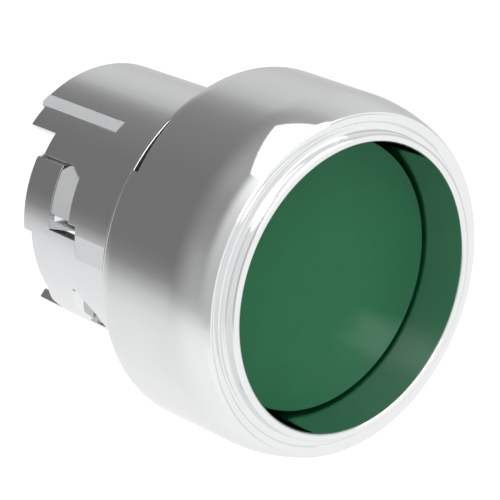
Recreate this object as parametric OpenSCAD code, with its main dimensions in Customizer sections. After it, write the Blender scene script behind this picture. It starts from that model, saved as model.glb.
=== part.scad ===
// Industrial push button: 22 mm panel actuator with a shrouded chrome bezel.
// The button faces -Y and +Z is up. The origin is on the axis, on the plane
// where the gasket meets the panel. Axial sizes are depths behind a datum
// just behind the lip's crown, and at(depth) gives the y of a depth. Round the axis, an angle of 0 is
// straight up and -90 is the side at -X. Millimetres throughout.

/* [General] */
// Depth of the panel plane behind the datum
seat_depth = 13.7; // [12:0.1:16]

/* [Bezel] */
// Radius of the shroud's bore at the lip
bore_r = 11.58; // [11.4:0.01:11.8]
// How much the bore narrows between the lip and the cap
bore_taper = 0.24; // [0:0.01:0.4]
// Radius of the rounded bead at the lip
bead_r = 0.345; // [0.25:0.005:0.45]
// How far the bead's crown stands in front of the datum
crown = 0.28; // [0:0.01:0.4]
// Depth of the step outside the bead
step_depth = 0.74; // [0.6:0.01:1.6]
// Radius at the front corner of the barrel-shaped side
corner_r = 13.78; // [13.4:0.01:14]
// Largest radius, near the rear
bezel_r = 14.7; // [14.4:0.05:15]
// Depth of the rear face
bezel_rear = 12.6; // [12:0.1:13]
// Depth where the counterbore for the spigot starts
counterbore_depth = 9.3; // [8.5:0.1:10]
// Radius of the counterbore
counterbore_r = 13.4; // [13.2:0.05:13.6]
// Middle of the pry notch round the axis (degrees)
pry_angle = -42.8; // [-90:0.1:0]
// Width of the pry notch
pry_width = 4.75; // [3:0.05:6]

/* [Barrel] */
// Outer radius of the barrel
barrel_r = 11; // [10.9:0.01:11.15]
// Wall thickness
barrel_wall = 0.85; // [0.7:0.05:1.2]
// Depth of the rear edge
barrel_rear = 31.4; // [28:0.1:36]
// Radius of the thin flange
flange_r = 14.3; // [13.8:0.05:14.6]
// Thickness of the flange
flange_t = 0.4; // [0.3:0.05:1]
// Depth where the plain part ends and the slotted, slightly tapered part begins
plain_end = 20.4; // [18:0.1:21]
// Radius of the land that centres the gasket
land_r = 11.25; // [11.1:0.05:11.5]
// Depth of the front of the spigot
spigot_front = 9.6; // [9.4:0.1:11]
// Bore of the lip that traps the diaphragm
trap_r = 9.2; // [8.8:0.1:9.6]

/* [Bayonet] */
// Start of the axial key slot (degrees)
key_from = -30.4; // [-34:0.1:-28]
// End of the axial key slot (degrees)
key_to = -36.8; // [-40:0.1:-35]
// Depth where the key slot starts
key_front = 21.1; // [19:0.1:24]
// Far side of the short lug (degrees)
lug_to = -46.7; // [-50:0.1:-44]
// Far side of the entry notch (degrees)
entry_to = -56.8; // [-60:0.1:-54]
// Depth of the entry notch floor
entry_floor = 27.35; // [26:0.05:29]
// Depth of the channel's front edge
channel_front = 22.05; // [21:0.05:23]
// Depth of the channel's rear edge
channel_rear = 24.55; // [24:0.05:26]
// Start of the long lug (degrees)
long_lug_from = -60.3; // [-62:0.1:-59]
// End of the channel (degrees)
channel_to = -86.5; // [-90:0.1:-80]
// Depth of the front edge of the channel's end pocket
pocket_front = 21.05; // [20:0.05:22]
// Depth of the long lug's rear edge
lug_rear = 28.05; // [27:0.05:29]
// Far side of the long lug (degrees)
long_lug_to = -91; // [-94:0.1:-88]
// Depth of the rear edge between the long lug and the leg
side_rear = 27; // [26:0.05:28]
// Start of the leg beyond the second window (degrees)
leg_from = -138.5; // [-142:0.1:-130]

/* [Cap] */
// Radius of the coloured cap
cap_r = 11.12; // [10.9:0.01:11.25]
// Depth of the cap's face
cap_face = 3.9; // [3:0.1:5]
// Thickness of the cap's face
cap_t = 1.5; // [1:0.1:2]
// Depth of the rear edge of the skirt
skirt_rear = 7.6; // [7:0.1:8]
// Rounding of the cap's edge
cap_edge = 0.15; // [0.1:0.05:0.6]

/* [Plunger] */
// Travel of the button
travel = 4.3; // [3:0.1:4.4]
// Radius of the stem
stem_r = 2.5; // [2.2:0.05:2.8]
// Radial clearance of the stem in its guides
guide_gap = 0.06; // [0.02:0.01:0.1]
// Radius of the stem's collar
collar_r = 4.4; // [4:0.1:4.4]
// Radius of the actuating foot
foot_r = 4.2; // [3.6:0.1:4.6]

/* [Spring] */
// Wire diameter
wire = 0.7; // [0.5:0.05:0.8]
// Mean radius of the coils
coil_r = 3.75; // [3.6:0.05:3.9]
// Number of turns
turns = 5.5; // [4:0.5:6]

/* [Hidden] */
barrel_in = barrel_r - barrel_wall;
sleeve_r = barrel_in - 0.03;
flange_front = 12.7;
flange_back = flange_front + flange_t;
web_front = 12.4;
draft = 0.04;
rebate_r = 14.05;
rebate_depth = 12;
nib_top = -82.3;
sleeve_front = 14;
hub_back = 10.8;
wall_front = hub_back + travel + 0.3;
wall_back = wall_front + 1;
collar_front = wall_back + 0.8;
collar_back = collar_front + 1;
washer_front = 27.4;
washer_back = 27.8;
retainer_back = 28.6;
tube_in = 4.7;
tube_out = 5.6;
foot_front = 29.4;
foot_back = 30.4;
stem_end = 31.3;
chrome = [0.80, 0.81, 0.83];
green = [0.10, 0.36, 0.22];
light_grey = [0.70, 0.71, 0.71];
dark = [0.12, 0.12, 0.13];
steel = [0.62, 0.63, 0.65];
$fn = 96;

function at(depth) = depth - seat_depth;

// Points of an arc in (radius, depth)
function arc(cr, cd, r, a0, a1, n) =
    [for (i = [0:n]) let (a = a0 + (a1 - a0) * i / n) [cr + r * cos(a), cd + r * sin(a)]];

// A body of revolution round the Y axis, drawn in (radius, depth)
module turned() {
    translate([0, at(0), 0]) rotate([-90, 0, 0]) rotate_extrude() children();
}

module tube(ro, ri, d0, d1) {
    turned() translate([ri, d0]) square([ro - ri, d1 - d0]);
}

// A slice of pie about the axis between two angles and two depths
module slice(a0, a1, d0, d1, r = 18) {
    am = (a0 + a1) / 2;
    translate([0, at(d0), 0]) rotate([-90, 0, 0]) linear_extrude(height = d1 - d0)
        polygon([[0, 0], [r * sin(a0), -r * cos(a0)], [1.1 * r * sin(am), -1.1 * r * cos(am)],
                 [r * sin(a1), -r * cos(a1)]]);
}

// The same slice, kept between two radii
module ring_slice(ro, ri, a0, a1, d0, d1) {
    intersection() {
        tube(ro, ri, d0, d1);
        slice(a0, a1, d0 - 1, d1 + 1);
    }
}

// A cut through the wall, drawn as (sideways, depth) points on the plane that
// faces outward at an angle; sideways is positive towards larger angles
module wall_cut(a, pts, r0 = 9, r1 = 12) {
    rotate([0, a, 0]) translate([0, at(0), r0]) linear_extrude(height = r1 - r0) polygon(pts);
}

module twice() {
    for (turn = [0, 180]) rotate([0, turn, 0]) children();
}

module bezel_shroud() color(chrome) difference() {
    turned() polygon(concat(
        [[bore_r - bore_taper, counterbore_depth], [bore_r - bore_taper, cap_face + 0.1]],
        arc(bore_r + bead_r, bead_r - crown, bead_r, 180, 360, 12),
        [[bore_r + 2 * bead_r + 0.02, step_depth - 0.12], [bore_r + 0.79, step_depth],
         [12.62, step_depth + 0.04], [12.8, step_depth + 0.03], [12.9, step_depth + 0.09],
         [13, step_depth + 0.02], [13.5, step_depth - 0.02]],
        arc(corner_r - 0.12, step_depth, 0.12, 260, 338, 4),
        arc(3.59, 4.9, 11.03, -22, -1, 8),
        [[bezel_r - 0.08, 7.8], [bezel_r, 11.8]],
        arc(bezel_r - 0.3, 12.3, 0.3, 0, 80, 5),
        [[rebate_r, bezel_rear], [rebate_r, rebate_depth], [counterbore_r, rebate_depth],
         [counterbore_r, counterbore_depth]]));
    // pry notch, a shallow ramp across the rear edge
    rotate([0, pry_angle, 0]) translate([0, at(12.05), 14.6]) rotate([0, 0, 4.8])
        translate([-pry_width / 2, 0, -0.95]) cube([pry_width, 2, 3]);
}

module barrel_body() color(chrome) difference() {
    turned() polygon([
        [trap_r, web_front], [11.62, web_front], [11.62, spigot_front],
        [counterbore_r - 0.22, spigot_front], [counterbore_r - 0.02, spigot_front + 0.2],
        [counterbore_r - 0.02, flange_front], [flange_r - 0.15, flange_front],
        [flange_r - 0.04, flange_front + 0.04], [flange_r, flange_front + 0.15],
        [flange_r, flange_back], [land_r, flange_back], [land_r, seat_depth - 0.02],
        [barrel_r, seat_depth - 0.02], [barrel_r, plain_end],
        [barrel_r - draft, barrel_rear - 0.08], [barrel_r - draft - 0.08, barrel_rear],
        [barrel_in, barrel_rear], [barrel_in, flange_back], [trap_r, flange_back]]);
    twice() {
        // key slot, short lug and entry notch
        slice(key_from, key_to, key_front, 33);
        slice(key_to + 0.05, lug_to, barrel_rear - 0.7, 33);
        slice(lug_to + 0.05, entry_to, entry_floor, 33);
        // channel with a stepped entry, and the pocket at its end
        slice(entry_to + 0.1, long_lug_from, 23.4, channel_rear);
        slice(long_lug_from + 0.05, channel_to, channel_front, channel_rear);
        wall_cut(long_lug_from + 1.7, [[-0.42, channel_front + 0.1], [0.4, 23.45],
            [0.4, 24.4], [-0.42, 24.4]]);
        slice(-80.4, channel_to, pocket_front, channel_rear);
        // shallow groove along the long lug's upper edge
        lug_groove();
        // rear edges of the long lug and of the wall up to the leg
        slice(entry_to + 0.1, long_lug_to - 0.1, lug_rear, 33);
        slice(long_lug_to, -120, side_rear, 33);
        wall_cut(-125.5, [[1.1, side_rear], [-1.1, side_rear + 1.2], [-1.1, 33], [1.1, 33]]);
        slice(-130.9, leg_from, side_rear + 1.2, 33);
        // second window, low on the side
        wall_cut(-120, [[1.53, 22.78], [1.45, 22.15], [1.03, 21.84], [0.3, 21.3], [-0.4, 20.95],
            [-1.2, 20.84], [-2.42, 21.2], [-3, 21.5], [-3, 24.1], [-1.32, 24], [-0.55, 23.78],
            [0.64, 23.19]]);
    }
}

// The groove's floor is the flat top of the lug; its far side climbs to the surface
module lug_groove() translate([0, at(channel_rear - 0.15), 0]) rotate([-90, 0, 0])
    linear_extrude(height = lug_rear + 0.15 - channel_rear + 0.5)
        polygon([[-9.7, -5.3], [-9.295, -5.71], [-8.726, -5.71], [-10.04, -6.57], [-11.2, -6]]);

module button_cap() color(green) turned() polygon(concat(
    [[0, cap_face], [cap_r - cap_edge, cap_face]],
    arc(cap_r - cap_edge, cap_face + cap_edge, cap_edge, -90, 0, 5),
    [[cap_r, skirt_rear - 0.15], [cap_r - 0.15, skirt_rear], [10.25, skirt_rear],
     [10.12, skirt_rear - 0.15], [10.12, 6.95], [10.32, 6.85], [10.32, 6.6], [10.12, 6.45],
     [10.12, cap_face + cap_t], [0, cap_face + cap_t]]));

module cap_carrier() color(dark) difference() {
    turned() polygon([
        [0, cap_face + cap_t], [9.9, cap_face + cap_t], [10.08, cap_face + cap_t + 0.2],
        [10.08, 6.5], [10.28, 6.65], [10.28, 6.8], [10.08, 6.95], [9.9, 7.05], [8.6, 7.05],
        [8.6, 6.5], [5.2, 6.5], [4.6, 7.1], [4, 7.1], [4, 7.6], [3.6, 7.6], [3.6, 8.6],
        [4, 8.6], [4, hub_back - 0.2], [3.8, hub_back], [0, hub_back]]);
    tube(stem_r + 0.01, 0, 6.2, 12);
    // slots that let the hub spring onto the stem
    for (turn = [0, 90]) rotate([0, turn, 0]) translate([-0.3, at(9), -5]) cube([0.6, 3, 10]);
}

module plunger_stem() color(light_grey) turned() polygon([
    [0, 6.3], [2.2, 6.3], [stem_r, 6.6], [stem_r, collar_front], [collar_r - 0.15, collar_front],
    [collar_r, collar_front + 0.15], [collar_r, collar_back - 0.15],
    [collar_r - 0.15, collar_back], [3.1, collar_back], [3.1, collar_back + 0.9],
    [stem_r, collar_back + 1.1], [stem_r, foot_front], [2, foot_front], [2, foot_back + 0.04],
    [1.5, foot_back + 0.04], [1.5, foot_back + 0.48], [2, foot_back + 0.48],
    [2, stem_end - 0.3], [1.7, stem_end], [0, stem_end]]);

module diaphragm_seal() color(dark) turned() polygon([
    [3.6, 7.6], [4.9, 7.6], [5.1, 7.9], [6.1, 8.4], [7.2, 9.9], [8.2, 12.2], [8.9, 13.15],
    [9.25, 13.15], [sleeve_r, 13.15], [sleeve_r, 14], [8.95, 14], [8.5, 13.6], [7.75, 12.45],
    [6.75, 10.15], [5.8, 8.8], [5, 8.5], [4.9, 8.6], [3.6, 8.6]]);

// Light-grey sleeve keyed to the barrel: two cheeks with ribs, and the inner
// tube that holds the spring
module guide_sleeve() color(light_grey) difference() {
    union() {
        difference() {
            tube(sleeve_r, 8.9, sleeve_front, lug_rear);
            twice() {
                // only the fingers behind the long lugs reach past the entry floor
                slice(-22, entry_to + 0.4, entry_floor - 0.1, 30);
                slice(-88, -158.5, entry_floor - 0.1, 30);
                slice(nib_top - 0.3, -90.5, pocket_front - 0.1, 30);
                slice(-108, -202, pocket_front - 0.1, 30);
            }
        }
        // tongues that fill the channels, and nibs that stand in their pockets
        twice() {
            difference() {
                ring_slice(barrel_r - 0.07, 9, entry_to - 0.1, -79.6,
                    channel_front + 0.05, channel_rear - 0.05);
                wall_cut(-58.5, [[-0.37, 24.7], [-0.37, 24.5], [0.19, 23.8], [0.37, 23.35],
                    [0.8, 23.35], [0.8, 24.7]], 8);
                wall_cut(-58.5, [[-0.4, 21.9], [-0.4, 22.25], [0.45, 23.4], [0.8, 23.4],
                    [0.8, 21.9]], 8);
            }
            difference() {
                ring_slice(barrel_r - 0.02, 9, nib_top, channel_to + 0.1,
                    pocket_front + 0.05, channel_rear - 0.05);
                wall_cut(-84.3, [[0.35, 21], [-0.38, 24.6], [-1, 24.6], [-1, 21]], 8);
            }
        }
        // tongue and nib of the second window, on a tab of the sleeve
        twice() {
            intersection() {
                tube(sleeve_r, 9, 20.5, 24);
                wall_cut(-120, [[0.45, 20.2], [0.45, 21.6], [-1.8, 23.3], [-2.75, 22.8],
                    [-2.75, 20.2]], 7);
            }
            intersection() {
                tube(barrel_r - 0.15, 9.4, 20.3, 24.4);
                union() {
                    wall_cut(-120, [[0.62, 21.75], [-0.42, 21.1], [-2.5, 22.95], [-1.9, 23.6]], 7);
                    wall_cut(-120, [[-0.66, 21.03], [-2.4, 21.33], [-2.9, 22.4]], 7);
                }
            }
        }
        // ribs that fill the key slots, flush with the barrel
        twice() difference() {
            ring_slice(barrel_r - 0.01, 9, key_from - 0.15, key_to + 0.15,
                key_front + 0.05, barrel_rear);
            wall_cut(key_to, [[-1, 31.2], [0.12, 31.15], [0.5, 31.5], [0, 32], [-1, 32]], 8.5);
        }
        tube(9, stem_r + guide_gap, wall_front, wall_back);
        tube(tube_out, tube_in, wall_front + 0.2, retainer_back + 0.2);
        // webs between the inner tube and the cheeks
        for (a = [-68, -8, 112, 172]) rotate([0, a, 0])
            translate([-0.5, at(wall_front + 0.1), tube_out - 0.2]) cube([1, 9, 9.6 - tube_out]);
    }
    // groove for the retainer's bead
    tube(4.9, 4, 27.95, 28.35);
}

// How far up the spring a turn is: the ends lie flat and the middle climbs evenly
function climb(t) = t < 0.75 ? 0 : t > turns - 0.75 ? 1 : (t - 0.75) / (turns - 1.5);

module return_spring() {
    rows = round(turns * 22);
    sides = 8;
    low = collar_back + wire / 2 + 0.02;
    high = washer_front - wire / 2 - 0.02;
    points = [for (i = [0:rows]) let (t = i * turns / rows, a = 360 * t,
              d = low + (high - low) * climb(t))
              for (j = [0:sides - 1]) let (b = 360 * j / sides, r = coil_r + wire / 2 * cos(b))
              [r * sin(a), at(d + wire / 2 * sin(b)), r * cos(a)]];
    skin = [for (i = [0:rows - 1], j = [0:sides - 1]) let (k = (j + 1) % sides)
            [i * sides + j, i * sides + k, (i + 1) * sides + k, (i + 1) * sides + j]];
    caps = [[for (j = [sides - 1:-1:0]) j], [for (j = [0:sides - 1]) rows * sides + j]];
    color(steel) polyhedron(points, concat(skin, caps));
}

module spring_washer() color(steel) tube(4.6, 2.9, washer_front, washer_back);

module spring_retainer() color(dark) turned() polygon([
    [stem_r + guide_gap, washer_back], [4.65, washer_back], [4.65, 27.98], [4.86, 28.05],
    [4.86, 28.25], [4.65, 28.32], [4.65, retainer_back - 0.1], [4.55, retainer_back],
    [3.4, retainer_back], [3.4, 28.2], [stem_r + guide_gap, 28.2]]);

module stop_buffer() color(dark) turned() polygon([
    [2.95, wall_back], [4.66, wall_back], [4.66, collar_front - 0.2],
    [4.5, collar_front - 0.04], [3.1, collar_front - 0.04], [2.95, collar_front - 0.2]]);

module actuating_foot() color(dark) difference() {
    turned() polygon([
        [2.01, foot_front], [2.9, foot_front], [3.1, foot_front + 0.3],
        [foot_r - 0.2, foot_front + 0.3], [foot_r, foot_front + 0.5], [foot_r, foot_back - 0.15],
        [foot_r - 0.15, foot_back], [2.01, foot_back]]);
    // two keyways for the contact block's pushers
    for (a = [0, 180]) rotate([0, a, 0])
        translate([-0.6, at(foot_front) - 1, foot_r - 0.7]) cube([1.2, 4, 2]);
}

module foot_clip() color(steel) difference() {
    tube(3, 1.51, foot_back + 0.06, foot_back + 0.44);
    // mouth of the clip, and the relief between its three prongs
    translate([-1.1, at(foot_back) - 1, -5]) cube([2.2, 4, 5]);
    for (a = [-75, 75]) rotate([0, a, 0])
        translate([-0.5, at(foot_back) - 1, 1]) cube([1, 4, 1.15]);
}

// Seal in the corner between the bezel and the flange
module bezel_o_ring() color(dark) turned()
    translate([(rebate_r + counterbore_r) / 2, flange_front - 0.34]) circle(r = 0.31, $fn = 48);

module panel_gasket() color(dark) turned() polygon([
    [land_r + 0.05, flange_back], [13.3, flange_back], [13.3, 13.5], [13.1, seat_depth],
    [12.3, seat_depth], [12.15, 13.58], [12, 13.58], [11.85, seat_depth],
    [land_r + 0.05, seat_depth]]);

bezel_shroud();
barrel_body();
button_cap();
guide_sleeve();
cap_carrier();
plunger_stem();
diaphragm_seal();
return_spring();
spring_washer();
spring_retainer();
stop_buffer();
actuating_foot();
foot_clip();
bezel_o_ring();
panel_gasket();
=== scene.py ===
# Industrial push button: a 22 mm actuator head with a shrouded chrome bezel.
# Lengths here are millimetres and are scaled to metres when a mesh is made.
# "depth" is the distance behind the lip, as in the CAD source; an angle of 0
# round the axis is straight up and -90 is the side at -X.
import math

import bmesh
import bpy
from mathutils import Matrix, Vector


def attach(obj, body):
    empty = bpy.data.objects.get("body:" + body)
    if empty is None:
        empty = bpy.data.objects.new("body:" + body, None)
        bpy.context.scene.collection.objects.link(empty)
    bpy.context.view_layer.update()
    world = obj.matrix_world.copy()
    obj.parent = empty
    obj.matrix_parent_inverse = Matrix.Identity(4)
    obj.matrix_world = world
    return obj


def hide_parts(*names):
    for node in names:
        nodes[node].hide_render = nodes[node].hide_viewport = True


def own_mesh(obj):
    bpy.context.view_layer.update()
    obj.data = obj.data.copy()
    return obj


MM = 0.001
LIP_Y = -13.7
BARREL_R = 11.0
BARREL_IN = 10.15
MERGE = 1e-8  # metres; points closer than this are one point

# radii between which the cutters run, well clear of the barrel's wall on both sides
CUT_FROM = 9.0
CUT_TO = 13.0
SCOOP_FROM = 9.6
SCOOP_TO = 11.5

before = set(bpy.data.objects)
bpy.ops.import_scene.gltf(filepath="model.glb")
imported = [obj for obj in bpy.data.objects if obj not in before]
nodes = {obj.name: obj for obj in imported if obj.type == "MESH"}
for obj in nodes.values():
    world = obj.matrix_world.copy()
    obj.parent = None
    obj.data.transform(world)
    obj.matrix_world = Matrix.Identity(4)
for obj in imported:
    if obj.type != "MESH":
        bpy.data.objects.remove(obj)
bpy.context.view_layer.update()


# ---------------------------------------------------------------- geometry

def polar(radius, angle, depth):
    """A point in metres from a radius, an angle round the axis and a depth."""
    a = math.radians(angle)
    return Vector((radius * math.sin(a), depth + LIP_Y, radius * math.cos(a))) * MM


def rounded(corners, steps=4):
    """A closed outline with its corners rounded: each is (radius, depth, rounding)."""
    out = []
    count = len(corners)
    for i, (r, d, fillet) in enumerate(corners):
        here = Vector((r, d))
        if not fillet:
            out.append(here)
            continue
        before = Vector(corners[i - 1][:2]) - here
        after = Vector(corners[(i + 1) % count][:2]) - here
        half = before.angle(after) / 2
        reach = min(fillet / math.tan(half), 0.49 * before.length, 0.49 * after.length)
        start = here + before.normalized() * reach
        end = here + after.normalized() * reach
        bisector = (before.normalized() + after.normalized()).normalized()
        centre = here + bisector * (reach / math.cos(half))
        radius = reach * math.tan(half)
        a = start - centre
        sweep = a.angle_signed(end - centre)
        for k in range(steps + 1):
            t = -sweep * k / steps
            out.append(centre + Vector((a.x * math.cos(t) - a.y * math.sin(t),
                                        a.x * math.sin(t) + a.y * math.cos(t))))
    return out


def linked(name, data):
    obj = bpy.data.objects.new(name, data)
    bpy.context.scene.collection.objects.link(obj)
    return obj


def smooth(mesh, sharp_above):
    """Smooth shading with edges sharp above an angle in degrees."""
    mesh.polygons.foreach_set("use_smooth", [True] * len(mesh.polygons))
    mesh.set_sharp_from_angle(angle=math.radians(sharp_above))
    mesh.update()


def piece(name, mesh, material, body):
    """A visible piece that moves with a body."""
    mesh.materials.clear()
    mesh.materials.append(material)
    obj = linked(name, mesh)
    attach(obj, body)
    return obj


def even_angles(count):
    return [360 * i / count for i in range(count)]


def turned(outline_at, angles):
    """A closed ring: outline_at(angle) gives the same number of (radius, depth) points
    at each angle."""
    bm = bmesh.new()
    rings = [[bm.verts.new(polar(r, a, d)) for r, d in outline_at(a)] for a in angles]
    for i, ring in enumerate(rings):
        following = rings[(i + 1) % len(rings)]
        for j in range(len(ring)):
            k = (j + 1) % len(ring)
            bm.faces.new((ring[j], ring[k], following[k], following[j]))
    bmesh.ops.remove_doubles(bm, verts=bm.verts, dist=MERGE)
    bmesh.ops.recalc_face_normals(bm, faces=bm.faces)
    return bm


def to_mesh(bm, name):
    mesh = bpy.data.meshes.new(name)
    bm.to_mesh(mesh)
    bm.free()
    return mesh


def sector(a0, a1):
    """(x, z) corners of a sector of wall between two angles."""
    count = max(1, math.ceil(abs(a1 - a0) / 8))
    angles = [math.radians(a0 + (a1 - a0) * i / count) for i in range(count + 1)]
    outer = [(CUT_TO * math.sin(a), CUT_TO * math.cos(a)) for a in angles]
    inner = [(CUT_FROM * math.sin(a), CUT_FROM * math.cos(a)) for a in reversed(angles)]
    return outer + inner


def chord(angle, distance):
    """(x, z) corners of a block that slices the barrel off flat at a distance from the axis."""
    a = math.radians(angle)
    out = Vector((math.sin(a), math.cos(a)))
    along = Vector((math.cos(a), -math.sin(a)))
    half = 2
    corners = ((distance, half), (distance, -half), (CUT_TO, -half), (CUT_TO, half))
    return [tuple(out * d + along * w) for d, w in corners]


def prism(points, direction):
    """A closed prism from a loop of points in millimetres, moved along a direction."""
    bm = bmesh.new()
    base = [bm.verts.new(Vector(p) * MM) for p in points]
    top = [bm.verts.new((Vector(p) + Vector(direction)) * MM) for p in points]
    bm.faces.new(base)
    bm.faces.new(list(reversed(top)))
    for i in range(len(points)):
        j = (i + 1) % len(points)
        bm.faces.new((base[i], top[i], top[j], base[j]))
    bmesh.ops.recalc_face_normals(bm, faces=bm.faces)
    return bm


def axial_cut(points, d0, d1):
    """A cutter with an (x, z) section between two depths."""
    return prism([(x, d0 + LIP_Y, z) for x, z in points], (0, d1 - d0, 0))


def radial_axes(angle):
    """Directions outward and sideways at an angle round the axis."""
    a = math.radians(angle)
    return Vector((math.sin(a), 0, math.cos(a))), Vector((math.cos(a), 0, -math.sin(a)))


def radial_cut(angle, points):
    """A cutter with a (sideways, depth) section that runs outward at an angle."""
    out, side = radial_axes(angle)
    loop = [out * CUT_FROM + side * w + Vector((0, d + LIP_Y, 0)) for w, d in points]
    return prism(loop, out * (CUT_TO - CUT_FROM))


def scooped_cut(angle, points):
    """A radial cutter whose edges lean: each point's last value is how much further forward
    its edge lies at the wall's inner radius than at its outer one."""
    out, side = radial_axes(angle)
    bm = bmesh.new()
    loops = []
    for r in (SCOOP_FROM, SCOOP_TO):
        lean = (BARREL_R - r) / (BARREL_R - BARREL_IN)
        loops.append([bm.verts.new((out * r + side * w + Vector((0, d - f * lean + LIP_Y, 0))) * MM)
                      for w, d, f in points])
    bm.faces.new(loops[0])
    bm.faces.new(list(reversed(loops[1])))
    for i in range(len(points)):
        j = (i + 1) % len(points)
        bm.faces.new((loops[0][i], loops[1][i], loops[1][j]))
        bm.faces.new((loops[0][i], loops[1][j], loops[0][j]))
    bmesh.ops.triangulate(bm, faces=[f for f in bm.faces if len(f.verts) > 3])
    bmesh.ops.recalc_face_normals(bm, faces=bm.faces)
    return bm


def carved(name, body, cutters):
    """The mesh of a body with every cutter, and its copy half a turn round, taken away."""
    work = linked(name + "_work", to_mesh(body, name + "_work"))
    made = []
    for bm in cutters:
        for turn in (1, -1):
            copy = bm.copy()
            bmesh.ops.scale(copy, vec=(turn, 1, turn), verts=copy.verts)
            tool = linked("cutter", to_mesh(copy, "cutter"))
            made.append(tool)
            mod = work.modifiers.new("cut", "BOOLEAN")
            mod.operation = "DIFFERENCE"
            mod.solver = "MANIFOLD"
            mod.object = tool
        bm.free()
    graph = bpy.context.evaluated_depsgraph_get()
    mesh = bpy.data.meshes.new_from_object(work.evaluated_get(graph))
    for obj in [work] + made:
        data = obj.data
        bpy.data.objects.remove(obj)
        bpy.data.meshes.remove(data)
    return mesh


def round_normals(mesh):
    """Exact normals on the turned surfaces, flat ones on the cuts: a face is turned when
    its own normal agrees with the exact one at every corner."""
    agree = 0.9997  # cosine of the angle between them
    mesh.polygons.foreach_set("use_smooth", [True] * len(mesh.polygons))
    normals = [None] * len(mesh.loops)
    for poly in mesh.polygons:
        n = poly.normal
        exact = []
        radial = Vector((poly.center.x, 0, poly.center.z)).normalized()
        outward = n.dot(radial)
        for index in poly.vertices:
            co = mesh.vertices[index].co
            ideal = Vector((co.x, 0, co.z)).normalized() * outward + Vector((0, n.y, 0))
            exact.append(ideal.normalized() if ideal.length > 1e-6 else n)
        is_turned = all(n.dot(e) > agree for e in exact)
        for loop, e in zip(poly.loop_indices, exact):
            normals[loop] = e if is_turned else n
    mesh.normals_split_custom_set(normals)


# --------------------------------------------------------------- materials

def shader(name):
    mat = bpy.data.materials.new(name)
    mat.use_nodes = True
    tree = mat.node_tree
    return mat, tree, tree.nodes["Principled BSDF"]


def noise(tree, scale, detail=3.0):
    coords = tree.nodes.new("ShaderNodeTexCoord")
    texture = tree.nodes.new("ShaderNodeTexNoise")
    texture.inputs["Scale"].default_value = scale
    texture.inputs["Detail"].default_value = detail
    texture.inputs["Roughness"].default_value = 0.55
    tree.links.new(coords.outputs["Object"], texture.inputs["Vector"])
    return texture.outputs["Fac"]


def ranged(tree, value, low, high):
    """A noise value spread between two limits."""
    remap = tree.nodes.new("ShaderNodeMapRange")
    remap.inputs["From Min"].default_value = 0.3
    remap.inputs["From Max"].default_value = 0.7
    remap.inputs["To Min"].default_value = low
    remap.inputs["To Max"].default_value = high
    tree.links.new(value, remap.inputs["Value"])
    return remap.outputs["Result"]


def bump(tree, bsdf, height, distance, edge):
    """Fine relief from a height value, over edges eased by a small radius if one is given."""
    node = tree.nodes.new("ShaderNodeBump")
    if edge:
        eased = tree.nodes.new("ShaderNodeBevel")
        eased.samples = 6
        eased.inputs["Radius"].default_value = edge * MM
        tree.links.new(eased.outputs["Normal"], node.inputs["Normal"])
    node.inputs["Strength"].default_value = 1.0
    node.inputs["Distance"].default_value = distance
    tree.links.new(height, node.inputs["Height"])
    tree.links.new(node.outputs["Normal"], bsdf.inputs["Normal"])


def tinted(tree, bsdf, colour, spread, value):
    """Base colour that varies a little either side of the colour with a noise value."""
    mix = tree.nodes.new("ShaderNodeMix")
    mix.data_type = "RGBA"
    mix.inputs["A"].default_value = [c * (1 - spread) for c in colour] + [1]
    mix.inputs["B"].default_value = [min(1, c * (1 + spread)) for c in colour] + [1]
    tree.links.new(ranged(tree, value, 0, 1), mix.inputs["Factor"])
    tree.links.new(mix.outputs["Result"], bsdf.inputs["Base Color"])


def metal(name, colour, rough, edge=0.0):
    mat, tree, bsdf = shader(name)
    bsdf.inputs["Metallic"].default_value = 1.0
    tinted(tree, bsdf, colour, 0.015, noise(tree, 140.0))
    tree.links.new(ranged(tree, noise(tree, 900.0), *rough), bsdf.inputs["Roughness"])
    bump(tree, bsdf, noise(tree, 2250.0), 2e-7, edge)
    return mat


def plastic(name, colour, rough, ior=1.46, edge=0.0):
    mat, tree, bsdf = shader(name)
    bsdf.inputs["IOR"].default_value = ior
    tinted(tree, bsdf, colour, 0.04, noise(tree, 300.0))
    tree.links.new(ranged(tree, noise(tree, 700.0), *rough), bsdf.inputs["Roughness"])
    bump(tree, bsdf, noise(tree, 2500.0, detail=2.0), 1.5e-6, edge)
    return mat


bezel_chrome = metal("bezel_chrome", (0.80, 0.805, 0.81), (0.035, 0.06))
barrel_chrome = metal("barrel_chrome", (0.78, 0.785, 0.795), (0.05, 0.085), edge=0.07)
cap_plastic = plastic("cap_plastic", (0.0035, 0.106, 0.0385), (0.34, 0.40), ior=1.33)
grey_plastic = plastic("grey_plastic", (0.46, 0.47, 0.475), (0.45, 0.55), edge=0.1)
black_plastic = plastic("black_plastic", (0.022, 0.022, 0.024), (0.42, 0.52))
spring_steel = metal("spring_steel", (0.55, 0.56, 0.575), (0.22, 0.32))
seal_rubber = plastic("seal_rubber", (0.020, 0.020, 0.021), (0.62, 0.75), ior=1.5)

for name, material in {
        "guide_sleeve": grey_plastic, "cap_carrier": black_plastic,
        "plunger_stem": grey_plastic, "diaphragm_seal": seal_rubber,
        "return_spring": spring_steel, "spring_washer": spring_steel,
        "spring_retainer": black_plastic, "stop_buffer": seal_rubber,
        "actuating_foot": black_plastic, "foot_clip": spring_steel,
        "bezel_o_ring": seal_rubber, "panel_gasket": seal_rubber,
        "barrel_body": barrel_chrome, "bezel_shroud": bezel_chrome,
        "button_cap": cap_plastic}.items():
    mesh = nodes[name].data
    mesh.materials.clear()
    mesh.materials.append(material)


# ------------------------------------------------------------------- bezel

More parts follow.
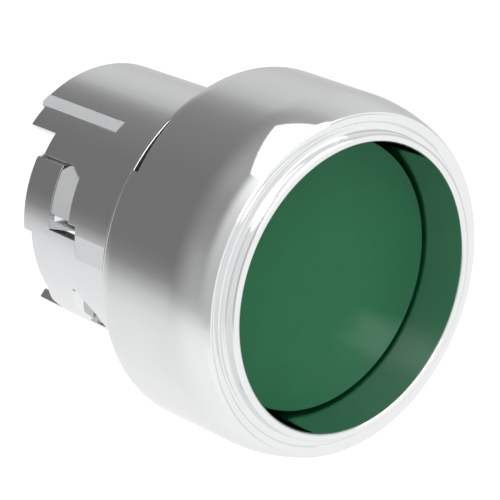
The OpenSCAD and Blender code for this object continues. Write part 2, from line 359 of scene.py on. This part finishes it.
BORE_R = 11.58  # at the lip
BORE_IN = 11.34  # at the cap
BORE_IN_FROM = 4.0
BEAD_R = 0.345
CROWN = -0.28  # depth of the bead's front
BEZEL_R = 14.70
BEZEL_REAR = 12.6
COUNTERBORE_R = 13.4
COUNTERBORE_FROM = 9.3
REBATE_R = 14.05
REBATE_FROM = 11.6
NOTCH_FROM = -33.3
NOTCH_TO = -52.3
NOTCH_REAR = 12.1
NOTCH_SLOPE = 0.3  # how much deeper the notch is at its far end


def bezel_outline(angle):
    """The bezel's section; the pry notch steps the outer rear corner forward."""
    inside = NOTCH_TO <= angle <= NOTCH_FROM
    share = (NOTCH_FROM - angle) / (NOTCH_FROM - NOTCH_TO)
    rear = NOTCH_REAR - NOTCH_SLOPE * share if inside else BEZEL_REAR
    bore = [(BORE_IN, COUNTERBORE_FROM, 0), (BORE_IN, BORE_IN_FROM, 0), (BORE_R, 0.12, 0)]
    bead = [(BORE_R + BEAD_R * (1 - math.cos(t)), CROWN + BEAD_R * (1 - math.sin(t)), 0)
            for t in [math.pi * k / 16 for k in range(17)]]
    # the stepped front ring, with a fine groove in it
    front = [(12.29, 0.62, 0), (12.37, 0.74, 0.04), (12.62, 0.78, 0.04), (12.8, 0.77, 0.03),
             (12.9, 0.83, 0.03), (13.0, 0.76, 0.03), (13.5, 0.72, 0.05)]
    side = [(r, d, 0) for r, d in side_curve()]
    tail = [(BEZEL_R, REBATE_FROM, 0), (BEZEL_R, rear, 0.1 if inside else 0.28),
            (REBATE_R, rear, 0.04), (REBATE_R, REBATE_FROM, 0),
            (COUNTERBORE_R, REBATE_FROM, 0.03), (COUNTERBORE_R, COUNTERBORE_FROM, 0)]
    return rounded(bore + bead + front + side + tail)


def side_curve():
    """The barrel-shaped side, from the front corner to the widest point."""
    out = []
    corner_radius, corner_depth, rounding = 13.66, 0.74, 0.10
    for t in [-20, 0, 25, 50, 70]:
        a = math.radians(t)
        out.append((corner_radius + rounding * math.sin(a), corner_depth - rounding * math.cos(a)))
    widest, centre_depth, curve = 14.62, 4.9, 11.03
    first, sweep, steps = -22.3, 21.8, 24
    for k in range(1, steps + 1):
        a = math.radians(first + sweep * k / steps)
        out.append((widest - curve + curve * math.cos(a), centre_depth + curve * math.sin(a)))
    return out


def bezel_angles():
    """Even steps round the axis, with the notch's two ends cut in sharply."""
    clear, end_wall = 0.4, 0.01
    angles = [a - 360 if a > 180 else a for a in even_angles(360)]
    angles = [a for a in angles if not (NOTCH_TO - clear < a < NOTCH_FROM + clear)]
    inner = [NOTCH_TO + (NOTCH_FROM - NOTCH_TO) * k / 20 for k in range(21)]
    return sorted(angles + inner + [NOTCH_TO - end_wall, NOTCH_FROM + end_wall])


bezel_mesh = to_mesh(turned(bezel_outline, bezel_angles()), "bezel")
smooth(bezel_mesh, 35)
bezel = piece("bezel", bezel_mesh, bezel_chrome, "housing")
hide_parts("bezel_shroud")


# --------------------------------------------------------------------- cap

CAP_R = 11.12
CAP_IN = 10.12
CAP_FACE = 3.9
CAP_INNER_FACE = 5.4
CAP_REAR = 7.6
CAP_SNAP_R = 10.32
CENTRE = 0.001  # a radius that is as good as on the axis

cap_outline = rounded([
    (CENTRE, CAP_FACE, 0), (CAP_R, CAP_FACE, 0.14), (CAP_R, CAP_REAR, 0.12),
    (10.25, CAP_REAR, 0.1), (CAP_IN, 6.95, 0), (CAP_SNAP_R, 6.85, 0), (CAP_SNAP_R, 6.6, 0),
    (CAP_IN, 6.45, 0), (CAP_IN, CAP_INNER_FACE, 0.1), (CENTRE, CAP_INNER_FACE, 0)], 6)
cap_mesh = to_mesh(turned(lambda angle: cap_outline, even_angles(256)), "cap")
smooth(cap_mesh, 35)
cap = piece("cap", cap_mesh, cap_plastic, "plunger")
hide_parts("button_cap")


# ------------------------------------------------------------------ barrel

FLANGE_FRONT = 12.7
FLANGE_BACK = 13.1
FLANGE_R = 14.3
SPIGOT_FRONT = 9.6
SPIGOT_IN = 11.62
SPIGOT_R = 13.38
WEB_FRONT = 12.4
WEB_IN = 9.2
LAND_R = 11.25
LAND_BACK = 13.68
PLAIN_END = 20.4
DRAFT = 0.04
REAR = 31.4
POCKET_FRONT = 21.05
CHANNEL_FRONT = 22.05
CHANNEL_BACK = 24.55
LONG_LUG_REAR = 28.05
SIDE_REAR = 27.0
LEG_FROM = 28.2


def barrel_mesh():
    outline = rounded([
        (WEB_IN, WEB_FRONT, 0), (SPIGOT_IN, WEB_FRONT, 0), (SPIGOT_IN, SPIGOT_FRONT, 0.1),
        (SPIGOT_R - 0.2, SPIGOT_FRONT, 0), (SPIGOT_R, SPIGOT_FRONT + 0.2, 0),
        (SPIGOT_R, FLANGE_FRONT, 0), (FLANGE_R, FLANGE_FRONT, 0.08), (FLANGE_R, FLANGE_BACK, 0.08),
        (LAND_R, FLANGE_BACK, 0), (LAND_R, LAND_BACK, 0), (BARREL_R, LAND_BACK, 0),
        (BARREL_R, PLAIN_END, 0), (BARREL_R - DRAFT, REAR, 0.08), (BARREL_IN, REAR, 0.05),
        (BARREL_IN, FLANGE_BACK, 0), (WEB_IN, FLANGE_BACK, 0)])
    body = turned(lambda angle: outline, even_angles(240))
    end = REAR + 1.6
    cutters = [
        # key slot, short lug, entry notch
        axial_cut(sector(-30.4, -36.8), 21.1, end),
        axial_cut(sector(-36.75, -46.7), REAR - 0.7, end),
        axial_cut(sector(-46.65, -56.8), 27.35, end),
        # channel with its stepped entry, and the pocket at its end
        axial_cut(sector(-56.7, -60.3), 23.4, CHANNEL_BACK),
        axial_cut(sector(-60.25, -79.6), CHANNEL_FRONT, CHANNEL_BACK),
        radial_cut(-58.6, [(-0.42, 22.15), (0.4, 23.45), (0.4, 24.4), (-0.42, 24.4)]),
        scooped_cut(-81, [(0.28, CHANNEL_FRONT, 0), (0.115, CHANNEL_FRONT, 0),
                          (0.115, POCKET_FRONT, 0), (-0.26, POCKET_FRONT, 0),
                          (-0.26, 23.9, 0.6), (0.28, 23.9, 0.6)]),
        axial_cut(sector(-82.25, -86.5), POCKET_FRONT, CHANNEL_BACK),
        # groove along the long lug's upper edge
        axial_cut([(-9.7, 5.3), (-9.295, 5.71), (-8.726, 5.71), (-10.04, 6.57), (-11.2, 6.0)],
                  24.4, 28.4),
        # rear edges of the long lug and of the wall up to the leg
        axial_cut(sector(-56.7, -91.1), LONG_LUG_REAR, end),
        axial_cut(sector(-91.0, -120), SIDE_REAR, end),
        radial_cut(-125.5, [(1.1, SIDE_REAR), (-1.1, LEG_FROM), (-1.1, end), (1.1, end)]),
        axial_cut(sector(-130.9, -138.5), LEG_FROM, end),
        # second window, low on the side
        scooped_cut(-120, [(1.53, 22.78, 0.1), (1.45, 22.15, 0), (1.03, 21.84, 0), (0.3, 21.3, 0),
                           (-0.4, 20.95, 0), (-1.2, 20.84, 0), (-2.42, 21.2, 0), (-3.0, 21.5, 0),
                           (-3.0, 24.1, 0.8), (-1.32, 24.0, 0.9), (-0.55, 23.78, 0.95),
                           (0.64, 23.19, 0.75)]),
        # flats on the side, ahead of the channel and on the long lug
        axial_cut(chord(-89.25, 10.954), 13.7, POCKET_FRONT),
        axial_cut(chord(-87.55, 10.98), 24.5, 28.2),
    ]
    return carved("barrel", body, cutters)


barrel_wall = barrel_mesh()
round_normals(barrel_wall)
barrel = piece("barrel", barrel_wall, barrel_chrome, "housing")
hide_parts("barrel_body")


# ------------------------------------------------- spring and diaphragm seal

def spring():
    """A coil of round wire with closed ends."""
    turns, coil, wire, low, high = 5.5, 3.75, 0.35, 18.57, 27.03
    closed = 0.75  # turns at each end that lie flat
    eased = 0.25  # share of the climb that starts and stops softly
    rows, sides = 260, 14
    bm = bmesh.new()
    loops = []
    for i in range(rows + 1):
        t = turns * i / rows
        climb = min(1, max(0, (t - closed) / (turns - 2 * closed)))
        climb = climb * climb * (3 - 2 * climb) * eased + climb * (1 - eased)
        depth = low + (high - low) * climb
        loops.append([bm.verts.new(polar(coil + wire * math.cos(b), 360 * t,
                                         depth + wire * math.sin(b)))
                      for b in [2 * math.pi * j / sides for j in range(sides)]])
    for a, b in zip(loops, loops[1:]):
        for j in range(sides):
            k = (j + 1) % sides
            bm.faces.new((a[j], a[k], b[k], b[j]))
    bm.faces.new(loops[0])
    bm.faces.new(loops[-1])
    bmesh.ops.recalc_face_normals(bm, faces=bm.faces)
    mesh = to_mesh(bm, "spring")
    smooth(mesh, 50)
    obj = piece("spring", mesh, spring_steel, "housing")
    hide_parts("return_spring")
    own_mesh(obj)


def diaphragm():
    """A thin folded seal between the moving carrier and the barrel."""
    outline = rounded([
        (3.6, 7.6, 0.1), (4.9, 7.6, 0.2), (5.15, 8.0, 0.3), (6.1, 8.4, 0.8), (7.2, 9.9, 1.5),
        (8.2, 12.2, 0.8), (8.9, 13.15, 0.2), (10.12, 13.15, 0.1), (10.12, 14, 0.1), (8.95, 14, 0.3),
        (8.5, 13.6, 0.4), (7.75, 12.45, 0.8), (6.75, 10.15, 1.2), (5.8, 8.8, 0.4), (5, 8.5, 0.1),
        (4.9, 8.6, 0.05), (3.6, 8.6, 0.1)])
    mesh = to_mesh(turned(lambda angle: outline, even_angles(120)), "diaphragm")
    smooth(mesh, 50)
    obj = piece("diaphragm", mesh, seal_rubber, "housing")
    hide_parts("diaphragm_seal")
    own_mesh(obj)


spring()
diaphragm()


# ------------------------------------------------------------- environment

FLOOR_Z = -0.075  # metres
FLOOR_HALF = 3.0  # metres
FLOOR_GLOW = 0.63
CHROME_RETURNS = 0.80  # share of the light that chrome reflects
SOFTBOX = 1.9
LAMP = 3.4


def floor():
    """White paper under the object that chrome doesn't mirror."""
    bm = bmesh.new()
    bmesh.ops.create_grid(bm, x_segments=8, y_segments=8, size=FLOOR_HALF)
    mesh = to_mesh(bm, "floor")
    obj = linked("floor", mesh)
    obj.location.z = FLOOR_Z
    mat, tree, bsdf = shader("floor_paper")
    bsdf.inputs["Roughness"].default_value = 0.9
    bsdf.inputs["Specular IOR Level"].default_value = 0.0
    bsdf.inputs["Emission Color"].default_value = (1, 1, 1, 1)
    bsdf.inputs["Emission Strength"].default_value = FLOOR_GLOW
    tinted(tree, bsdf, (0.4, 0.4, 0.4), 0.005, noise(tree, 30.0))
    mesh.materials.append(mat)
    obj.visible_glossy = False


def tone(value):
    """Scene brightness that a chrome surface returns as this 8-bit tone."""
    linear = ((value / 255 + 0.055) / 1.055) ** 2.4
    return linear / CHROME_RETURNS


def studio():
    """Soft studio surroundings as a function of direction: walls whose grey changes round
    the object's axis, an overhead softbox and a soft lamp."""
    world = bpy.data.worlds.new("studio")
    bpy.context.scene.world = world
    world.use_nodes = True
    tree = world.node_tree
    links = tree.links
    background = tree.nodes["Background"]

    def connect(socket, value):
        """Set an input to a number, or link another node's output to it."""
        if isinstance(value, (int, float)):
            socket.default_value = value
        else:
            links.new(value, socket)

    def math_node(kind, *values):
        n = tree.nodes.new("ShaderNodeMath")
        n.operation = kind
        for socket, value in zip(n.inputs, values):
            connect(socket, value)
        return n.outputs[0]

    def step(value, start, end):
        """0 before the start and 1 after the end, with a soft change between."""
        n = tree.nodes.new("ShaderNodeMapRange")
        n.interpolation_type = "SMOOTHSTEP"
        n.inputs["From Min"].default_value = start
        n.inputs["From Max"].default_value = end
        links.new(value, n.inputs["Value"])
        return n.outputs["Result"]

    def blend(factor, a, b):
        n = tree.nodes.new("ShaderNodeMix")
        n.data_type = "FLOAT"
        for key, value in (("Factor", factor), ("A", a), ("B", b)):
            connect(n.inputs[key], value)
        return n.outputs["Result"]

    coords = tree.nodes.new("ShaderNodeTexCoord")
    split = tree.nodes.new("ShaderNodeSeparateXYZ")
    links.new(coords.outputs["Generated"], split.inputs["Vector"])
    x, y, z = split.outputs
    around = math_node("DIVIDE", math_node("ARCTAN2", x, z), 2 * math.pi)
    around = math_node("ADD", around, 0.5)
    off_axis = math_node("MULTIPLY", math_node("ARCCOSINE", y), 180 / math.pi)

    def ramp(stops):
        """A grey that changes round the axis: each stop is (degrees, tone)."""
        n = tree.nodes.new("ShaderNodeFloatCurve")
        curve = n.mapping.curves[0]
        n.mapping.use_clip = False
        points = [((a + 180) / 360, tone(t)) for a, t in stops]
        while len(curve.points) < len(points):
            curve.points.new(0.5, 0.5)
        for p, (px, py) in zip(curve.points, points):
            p.location = (px, py)
            p.handle_type = "AUTO_CLAMPED"
        n.mapping.update()
        links.new(around, n.inputs["Value"])
        return n.outputs["Value"]

    # tones round the axis, 45, 68 and 88 degrees off it
    near = ramp([(-180, 228), (-134, 220), (-119, 204), (-104, 157), (-93, 122), (-83, 113),
                 (-40, 112), (-15, 118), (8, 127), (20, 143), (30, 168), (38, 184), (60, 195),
                 (90, 186), (112, 208), (135, 222), (180, 228)])
    middle = ramp([(-180, 238), (-124, 232), (-110, 207), (-95, 165), (-80, 157), (-50, 138),
                   (-25, 155), (0, 156), (20, 160), (38, 192), (60, 204), (90, 190), (115, 210),
                   (150, 228), (180, 238)])
    far = ramp([(-180, 238), (-140, 242), (-115, 222), (-98, 180), (-70, 188), (-50, 204),
                (-32, 235), (-15, 250), (10, 215), (22, 178), (45, 203), (90, 200), (130, 225),
                (180, 238)])
    wall = blend(step(off_axis, 44, 70), near, middle)
    wall = blend(step(off_axis, 74, 84), wall, far)
    wall = blend(step(off_axis, 100, 125), wall, tone(238))
    # overhead softbox: a four-sided panel on the ceiling, seen from the object
    up = math_node("MAXIMUM", z, 0.02)
    u = math_node("DIVIDE", x, up)
    v = math_node("DIVIDE", y, up)
    soft, left_u = 0.025, -0.437
    left = step(u, left_u - soft, left_u + soft)
    past_rear = math_node("SUBTRACT", math_node("ADD", math_node("MULTIPLY", u, 0.53), 0.495), v)
    rear = step(past_rear, -soft, soft)
    past_right = math_node("SUBTRACT",
                           math_node("MULTIPLY", math_node("SUBTRACT", v, 0.59), -0.55),
                           math_node("SUBTRACT", u, 0.21))
    right = step(past_right, -soft, soft)
    front = step(math_node("ADD", v, 1.2), 0, 0.6)
    panel = math_node("MULTIPLY", math_node("MULTIPLY", left, rear),
                      math_node("MULTIPLY", right, front))
    lit = blend(panel, wall, SOFTBOX)
    # a soft lamp in front, high on the left
    towards = tree.nodes.new("ShaderNodeVectorMath")
    towards.operation = "DOT_PRODUCT"
    links.new(coords.outputs["Generated"], towards.inputs[0])
    towards.inputs[1].default_value = Vector((-0.45, -0.53, 0.72)).normalized()
    lamp = step(towards.outputs["Value"], 0.955, 0.99)
    lit = math_node("ADD", lit, math_node("MULTIPLY", lamp, LAMP))
    links.new(lit, background.inputs["Strength"])
    background.inputs["Color"].default_value = (1, 1, 1, 1)


def camera():
    azimuth = math.radians(-40.59)
    elevation = math.radians(20.62)
    data = bpy.data.cameras.new("camera")
    data.sensor_width = 36
    data.lens = 161.28
    data.clip_start = 0.01
    obj = linked("camera", data)
    obj.location = Vector((-109.49, LIP_Y - 115.50, 63.02)) * MM
    obj.rotation_euler = (math.pi / 2 - elevation, 0, azimuth)
    bpy.context.scene.camera = obj


floor()
studio()
camera()
bpy.context.scene.view_settings.view_transform = "Standard"
